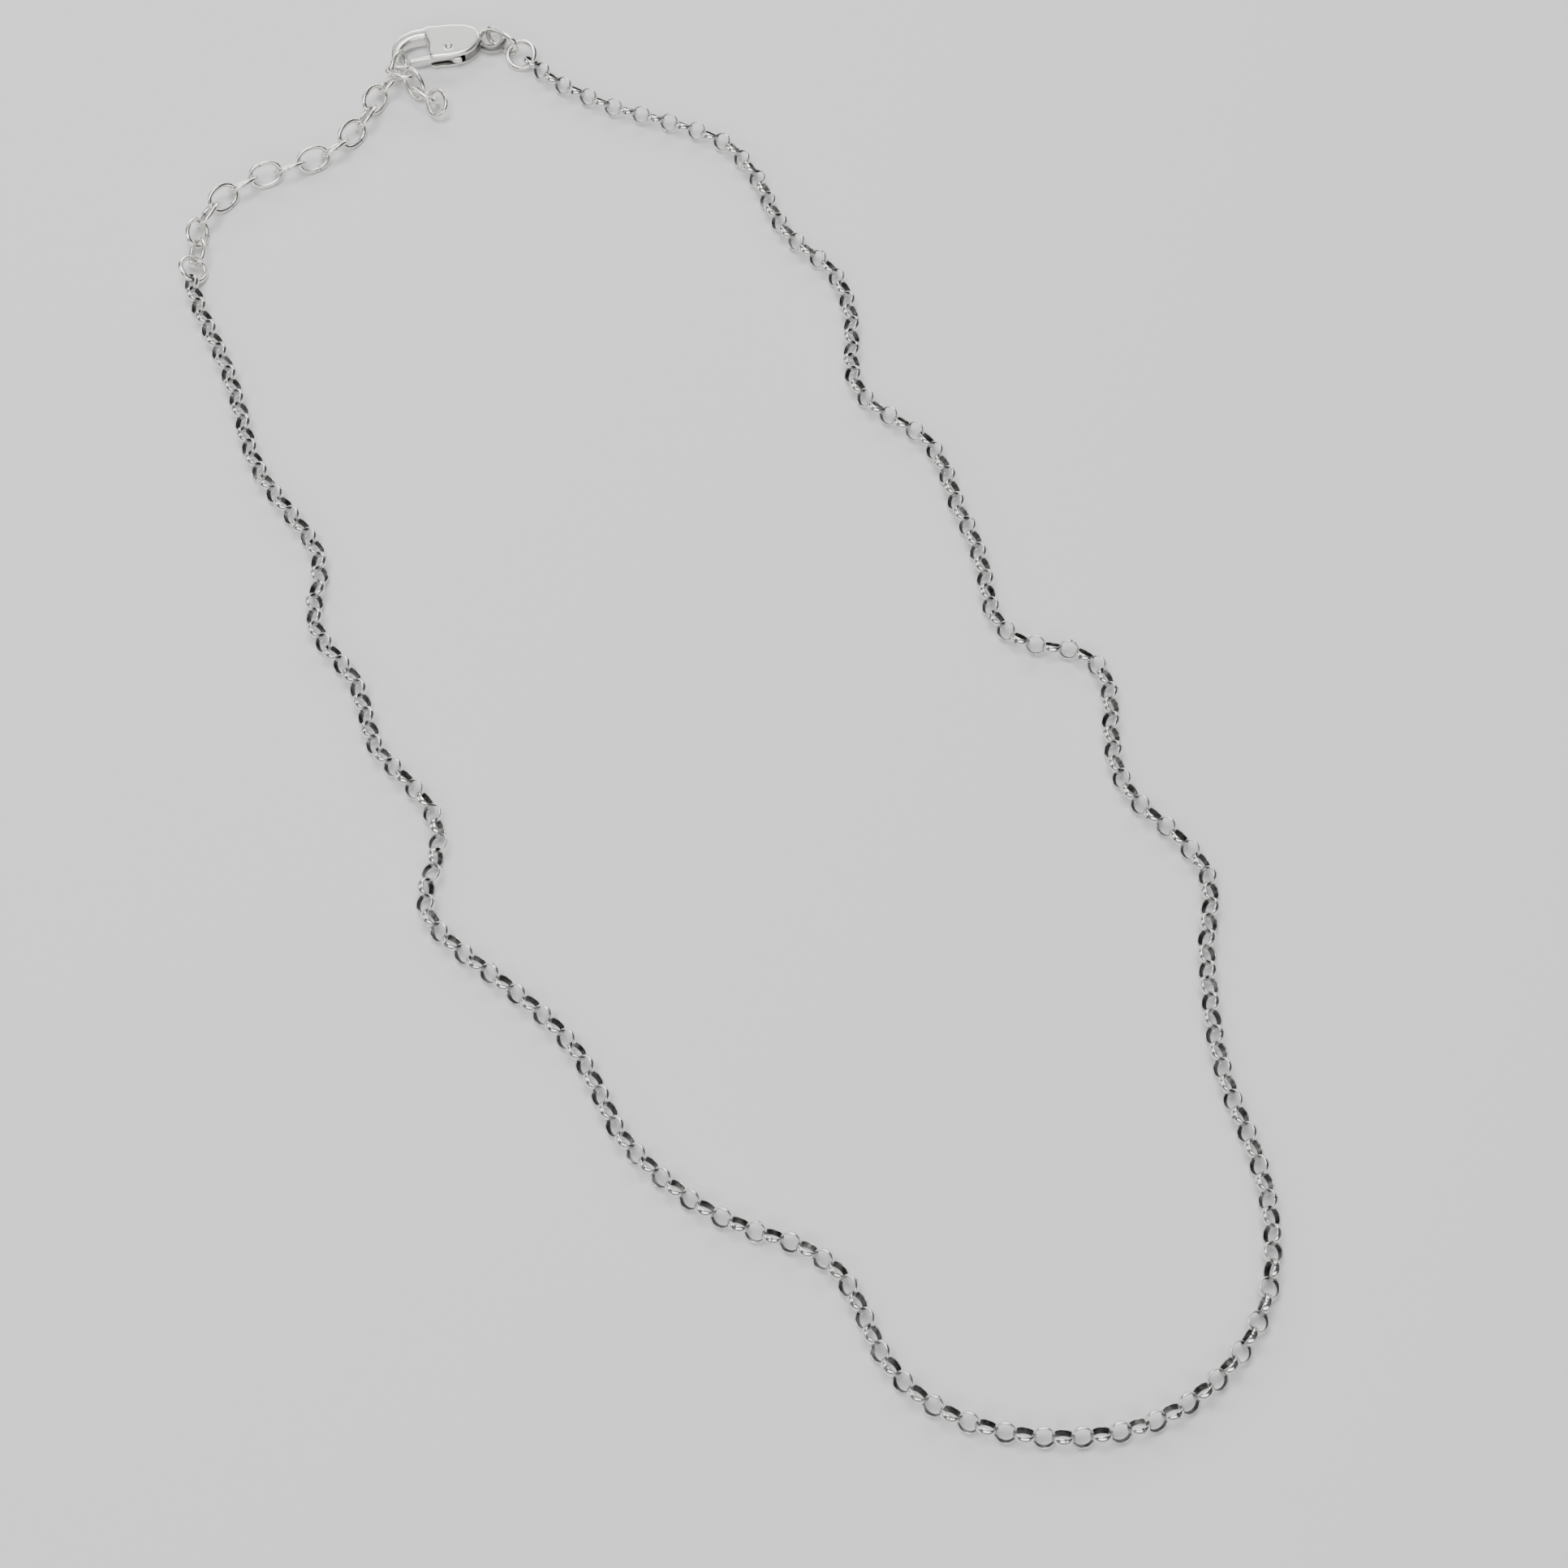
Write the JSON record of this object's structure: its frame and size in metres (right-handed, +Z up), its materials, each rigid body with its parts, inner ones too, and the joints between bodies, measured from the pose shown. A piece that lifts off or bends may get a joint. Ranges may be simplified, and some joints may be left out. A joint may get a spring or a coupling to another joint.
{
  "type": "chain necklace",
  "caption": "Necklace of round rolo links with a lobster clasp closed on an oval-link extension chain whose short tail hangs free.",
  "frame": {"origin": "middle of the bounding box in plan, on the table the necklace lies on", "axes": "+Z up from the table, +Y from the front curve of the chain towards the clasp, +X to the right seen from the front"},
  "size_m": [0.1316, 0.1964, 0.0038],
  "materials": {
    "oxidised_silver": "antiqued, polished outside and dark inside",
    "bright_silver": "polished",
    "spring_steel": "plain"
  },
  "bodies": {
    "front": {"chain_run_17": "oxidised_silver"},
    "run_16": {"chain_run_16": "oxidised_silver"},
    "run_18": {"chain_run_18": "oxidised_silver"},
    "run_15": {"chain_run_15": "oxidised_silver"},
    "run_19": {"chain_run_19": "oxidised_silver"},
    "run_14": {"chain_run_14": "oxidised_silver"},
    "run_20": {"chain_run_20": "oxidised_silver"},
    "run_13": {"chain_run_13": "oxidised_silver"},
    "run_21": {"chain_run_21": "oxidised_silver"},
    "run_12": {"chain_run_12": "oxidised_silver"},
    "run_22": {"chain_run_22": "oxidised_silver"},
    "run_11": {"chain_run_11": "oxidised_silver"},
    "run_23": {"chain_run_23": "oxidised_silver"},
    "run_10": {"chain_run_10": "oxidised_silver"},
    "run_24": {"chain_run_24": "oxidised_silver"},
    "run_09": {"chain_run_09": "oxidised_silver"},
    "run_25": {"chain_run_25": "oxidised_silver"},
    "run_08": {"chain_run_08": "oxidised_silver"},
    "run_26": {"chain_run_26": "oxidised_silver"},
    "run_07": {"chain_run_07": "oxidised_silver"},
    "run_27": {"chain_run_27": "oxidised_silver"},
    "run_06": {"chain_run_06": "oxidised_silver"},
    "run_28": {"chain_run_28": "oxidised_silver"},
    "run_05": {"chain_run_05": "oxidised_silver"},
    "run_29": {"chain_run_29": "oxidised_silver"},
    "run_04": {"chain_run_04": "oxidised_silver"},
    "ring_c": {"jump_ring_c": "bright_silver", "ext_link_01": "bright_silver"},
    "run_03": {"chain_run_03": "oxidised_silver"},
    "ext_02": {"ext_link_02": "bright_silver", "ext_link_03": "bright_silver", "ext_link_04": "bright_silver"},
    "run_02": {"chain_run_02": "oxidised_silver"},
    "ext_05": {"ext_link_05": "bright_silver", "ext_link_06": "bright_silver", "ext_link_07": "bright_silver"},
    "run_01": {"chain_run_01": "oxidised_silver"},
    "ext_08": {"ext_link_08": "bright_silver", "ext_link_09": "bright_silver"},
    "ring_b": {"jump_ring_b": "bright_silver"},
    "ext_10": {"ext_link_10": "bright_silver", "ext_link_11": "bright_silver"},
    "ring_a": {"jump_ring_a": "bright_silver"},
    "ext_12": {"ext_link_12": "bright_silver", "ext_link_13": "bright_silver"},
    "clasp": {"clasp_body": "bright_silver", "clasp_pin": "bright_silver", "clasp_spring": "spring_steel"},
    "hooked": {"ext_link_hooked": "bright_silver"},
    "lever": {"clasp_lever": "bright_silver"},
    "tail_1": {"tail_link_1": "bright_silver"},
    "tail_2": {"tail_link_2": "bright_silver"},
    "tail_3": {"tail_link_3": "bright_silver"},
    "tail_4": {"tail_link_4": "bright_silver"}
  },
  "joints": [
    {"name": "fold_01_r", "type": "hinge", "parent": "front", "child": "run_16", "pos_m": [0.04998, -0.09565, 0.00119], "axis": [1, 0.0064, 0.0001], "range_deg": [-22, 22]},
    {"name": "fold_01_l", "type": "hinge", "parent": "front", "child": "run_18", "pos_m": [0.0324, -0.09576, 0.00119], "axis": [1, 0.0064, 0.0001], "range_deg": [-22, 22]},
    {"name": "fold_02_r", "type": "hinge", "parent": "run_16", "child": "run_15", "pos_m": [0.06074, -0.08722, 0.00125], "axis": [-0.9988, 0.0497, -0.0015], "range_deg": [-22, 22]},
    {"name": "fold_02_l", "type": "hinge", "parent": "run_18", "child": "run_19", "pos_m": [0.02131, -0.08525, 0.00119], "axis": [-0.9988, 0.0497, -0.0015], "range_deg": [-22, 22]},
    {"name": "fold_03_r", "type": "hinge", "parent": "run_15", "child": "run_14", "pos_m": [0.06456, -0.07214, 0.00121], "axis": [0.9986, 0.0529, 0.0004], "range_deg": [-22, 22]},
    {"name": "fold_03_l", "type": "hinge", "parent": "run_19", "child": "run_20", "pos_m": [0.01025, -0.07501, 0.00119], "axis": [0.9986, 0.0529, 0.0004], "range_deg": [-22, 22]},
    {"name": "fold_04_r", "type": "hinge", "parent": "run_14", "child": "run_13", "pos_m": [0.06141, -0.05865, 0.00118], "axis": [-0.9926, -0.1213, 0], "range_deg": [-22, 22]},
    {"name": "fold_04_l", "type": "hinge", "parent": "run_20", "child": "run_21", "pos_m": [-0.00297, -0.06652, 0.00118], "axis": [-0.9926, -0.1213, 0], "range_deg": [-22, 22]},
    {"name": "fold_05_r", "type": "hinge", "parent": "run_13", "child": "run_12", "pos_m": [0.05994, -0.04489, 0.00123], "axis": [0.9935, 0.1138, 0.0006], "range_deg": [-22, 22]},
    {"name": "fold_05_l", "type": "hinge", "parent": "run_21", "child": "run_22", "pos_m": [-0.01119, -0.05303, 0.00118], "axis": [0.9935, 0.1138, 0.0006], "range_deg": [-22, 22]},
    {"name": "fold_06_r", "type": "hinge", "parent": "run_12", "child": "run_11", "pos_m": [0.05963, -0.02935, 0.00118], "axis": [-0.9877, -0.1562, 0], "range_deg": [-22, 22]},
    {"name": "fold_06_l", "type": "hinge", "parent": "run_22", "child": "run_23", "pos_m": [-0.02294, -0.04241, 0.00118], "axis": [-0.9877, -0.1562, 0], "range_deg": [-22, 22]},
    {"name": "fold_07_r", "type": "hinge", "parent": "run_11", "child": "run_10", "pos_m": [0.05148, -0.01828, 0.00118], "axis": [0.9914, 0.1308, -0.0009], "range_deg": [-22, 22]},
    {"name": "fold_07_l", "type": "hinge", "parent": "run_23", "child": "run_24", "pos_m": [-0.02751, -0.02871, 0.00125], "axis": [0.9914, 0.1308, -0.0009], "range_deg": [-22, 22]},
    {"name": "fold_08_r", "type": "hinge", "parent": "run_10", "child": "run_09", "pos_m": [0.05011, -0.0046, 0.00118], "axis": [-0.9921, -0.1256, 0], "range_deg": [-22, 22]},
    {"name": "fold_08_l", "type": "hinge", "parent": "run_24", "child": "run_25", "pos_m": [-0.03515, -0.01539, 0.00118], "axis": [-0.9921, -0.1256, 0], "range_deg": [-22, 22]},
    {"name": "fold_09_r", "type": "hinge", "parent": "run_09", "child": "run_08", "pos_m": [0.03764, 0.00367, 0.00118], "axis": [0.998, 0.0627, 0], "range_deg": [-22, 22]},
    {"name": "fold_09_l", "type": "hinge", "parent": "run_25", "child": "run_26", "pos_m": [-0.04213, -0.00134, 0.00118], "axis": [0.998, 0.0627, 0], "range_deg": [-22, 22]},
    {"name": "fold_10_r", "type": "hinge", "parent": "run_08", "child": "run_07", "pos_m": [0.03452, 0.01714, 0.00118], "axis": [-0.9991, -0.0421, 0], "range_deg": [-22, 22]},
    {"name": "fold_10_l", "type": "hinge", "parent": "run_26", "child": "run_27", "pos_m": [-0.04531, 0.01378, 0.00118], "axis": [-0.9991, -0.0421, 0], "range_deg": [-22, 22]},
    {"name": "fold_11_r", "type": "hinge", "parent": "run_07", "child": "run_06", "pos_m": [0.02943, 0.02989, 0.00118], "axis": [0.9994, 0.0336, 0], "range_deg": [-22, 22]},
    {"name": "fold_11_l", "type": "hinge", "parent": "run_27", "child": "run_28", "pos_m": [-0.0539, 0.02708, 0.00118], "axis": [0.9994, 0.0336, 0], "range_deg": [-22, 22]},
    {"name": "fold_12_r", "type": "hinge", "parent": "run_06", "child": "run_05", "pos_m": [0.02095, 0.04226, 0.00118], "axis": [-1, -0.0022, 0], "range_deg": [-22, 22]},
    {"name": "fold_12_l", "type": "hinge", "parent": "run_28", "child": "run_29", "pos_m": [-0.05906, 0.04209, 0.00118], "axis": [-1, -0.0022, 0], "range_deg": [-22, 22]},
    {"name": "fold_13_r", "type": "hinge", "parent": "run_05", "child": "run_04", "pos_m": [0.01869, 0.05576, 0.00118], "axis": [1, 0.0075, -0.0015], "range_deg": [-22, 22]},
    {"name": "fold_13_l", "type": "hinge", "parent": "run_29", "child": "ring_c", "pos_m": [-0.06409, 0.05514, 0.0013], "axis": [1, 0.0075, -0.0015], "range_deg": [-22, 22]},
    {"name": "fold_14_r", "type": "hinge", "parent": "run_04", "child": "run_03", "pos_m": [0.0106, 0.06685, 0.00118], "axis": [-0.9964, -0.0846, 0.0019], "range_deg": [-22, 22]},
    {"name": "fold_14_l", "type": "hinge", "parent": "ring_c", "child": "ext_02", "pos_m": [-0.06399, 0.06052, 0.00133], "axis": [-0.9964, -0.0846, 0.0019], "range_deg": [-22, 22]},
    {"name": "fold_15_r", "type": "hinge", "parent": "run_03", "child": "run_02", "pos_m": [0.00159, 0.07934, 0.00118], "axis": [0.9869, 0.1616, -0.0024], "range_deg": [-22, 22]},
    {"name": "fold_15_l", "type": "hinge", "parent": "ext_02", "child": "ext_05", "pos_m": [-0.06017, 0.06922, 0.00133], "axis": [0.9869, 0.1616, -0.0024], "range_deg": [-22, 22]},
    {"name": "fold_16_r", "type": "hinge", "parent": "run_02", "child": "run_01", "pos_m": [-0.01136, 0.08433, 0.00118], "axis": [-0.9686, -0.2488, 0.0035], "range_deg": [-22, 22]},
    {"name": "fold_16_l", "type": "hinge", "parent": "ext_05", "child": "ext_08", "pos_m": [-0.05158, 0.074, 0.00133], "axis": [-0.9686, -0.2488, 0.0035], "range_deg": [-22, 22]},
    {"name": "fold_17_r", "type": "hinge", "parent": "run_01", "child": "ring_b", "pos_m": [-0.02264, 0.09259, 0.00125], "axis": [0.8494, 0.5277, -0.0026], "range_deg": [-12, 12]},
    {"name": "fold_17_l", "type": "hinge", "parent": "ext_08", "child": "ext_10", "pos_m": [-0.04632, 0.07788, 0.00133], "axis": [0.8494, 0.5277, -0.0026], "range_deg": [-12, 12]},
    {"name": "fold_18_r", "type": "hinge", "parent": "ring_b", "child": "ring_a", "pos_m": [-0.02465, 0.09414, 0.00164], "axis": [-0.8681, -0.4962, -0.0146], "range_deg": [-12, 12]},
    {"name": "fold_18_l", "type": "hinge", "parent": "ext_10", "child": "ext_12", "pos_m": [-0.04312, 0.08358, 0.00133], "axis": [-0.8681, -0.4962, -0.0146], "range_deg": [-12, 12]},
    {"name": "fold_19_r", "type": "hinge", "parent": "ring_a", "child": "clasp", "pos_m": [-0.0262, 0.09525, 0.00183], "axis": [0.9243, 0.3812, 0.0211], "range_deg": [-4, 4]},
    {"name": "fold_19_l", "type": "hinge", "parent": "ext_12", "child": "hooked", "pos_m": [-0.04033, 0.08943, 0.0015], "axis": [0.9243, 0.3812, 0.0211], "range_deg": [-4, 4]},
    {"name": "lever_open", "type": "hinge", "parent": "clasp", "child": "lever", "pos_m": [-0.03309, 0.09366, 0.0012], "axis": [0, 0, -1], "range_deg": [0, 22], "stiffness_Nm_per_rad": 0.001, "springref_deg": -11.46},
    {"name": "tail_1_swing", "type": "hinge", "parent": "hooked", "child": "tail_1", "pos_m": [-0.03945, 0.08986, 0.00209], "axis": [0.9681, 0.2506, 0], "range_deg": [-4, 2]},
    {"name": "tail_2_swing", "type": "hinge", "parent": "tail_1", "child": "tail_2", "pos_m": [-0.03832, 0.08817, 0.00218], "axis": [0.6247, 0.7809, 0], "range_deg": [-6, 6]},
    {"name": "tail_3_swing", "type": "hinge", "parent": "tail_2", "child": "tail_3", "pos_m": [-0.03669, 0.08667, 0.00164], "axis": [0.7295, 0.6839, 0], "range_deg": [-6, 6]},
    {"name": "tail_4_swing", "type": "hinge", "parent": "tail_3", "child": "tail_4", "pos_m": [-0.03509, 0.08517, 0.0014], "axis": [0.6357, 0.7719, 0], "range_deg": [-6, 6]}
  ],
  "couplings": [
    {"joint": "fold_01_l", "follows": "fold_01_r", "ratio": 1},
    {"joint": "fold_02_l", "follows": "fold_02_r", "ratio": 1},
    {"joint": "fold_03_l", "follows": "fold_03_r", "ratio": 1},
    {"joint": "fold_04_l", "follows": "fold_04_r", "ratio": 1},
    {"joint": "fold_05_l", "follows": "fold_05_r", "ratio": 1},
    {"joint": "fold_06_l", "follows": "fold_06_r", "ratio": 1},
    {"joint": "fold_07_l", "follows": "fold_07_r", "ratio": 1},
    {"joint": "fold_08_l", "follows": "fold_08_r", "ratio": 1},
    {"joint": "fold_09_l", "follows": "fold_09_r", "ratio": 1},
    {"joint": "fold_10_l", "follows": "fold_10_r", "ratio": 1},
    {"joint": "fold_11_l", "follows": "fold_11_r", "ratio": 1},
    {"joint": "fold_12_l", "follows": "fold_12_r", "ratio": 1},
    {"joint": "fold_13_l", "follows": "fold_13_r", "ratio": 1},
    {"joint": "fold_14_l", "follows": "fold_14_r", "ratio": 1},
    {"joint": "fold_15_l", "follows": "fold_15_r", "ratio": 1},
    {"joint": "fold_16_l", "follows": "fold_16_r", "ratio": 1},
    {"joint": "fold_17_l", "follows": "fold_17_r", "ratio": 1},
    {"joint": "fold_18_l", "follows": "fold_18_r", "ratio": 1},
    {"joint": "fold_19_l", "follows": "fold_19_r", "ratio": 1}
  ]
}
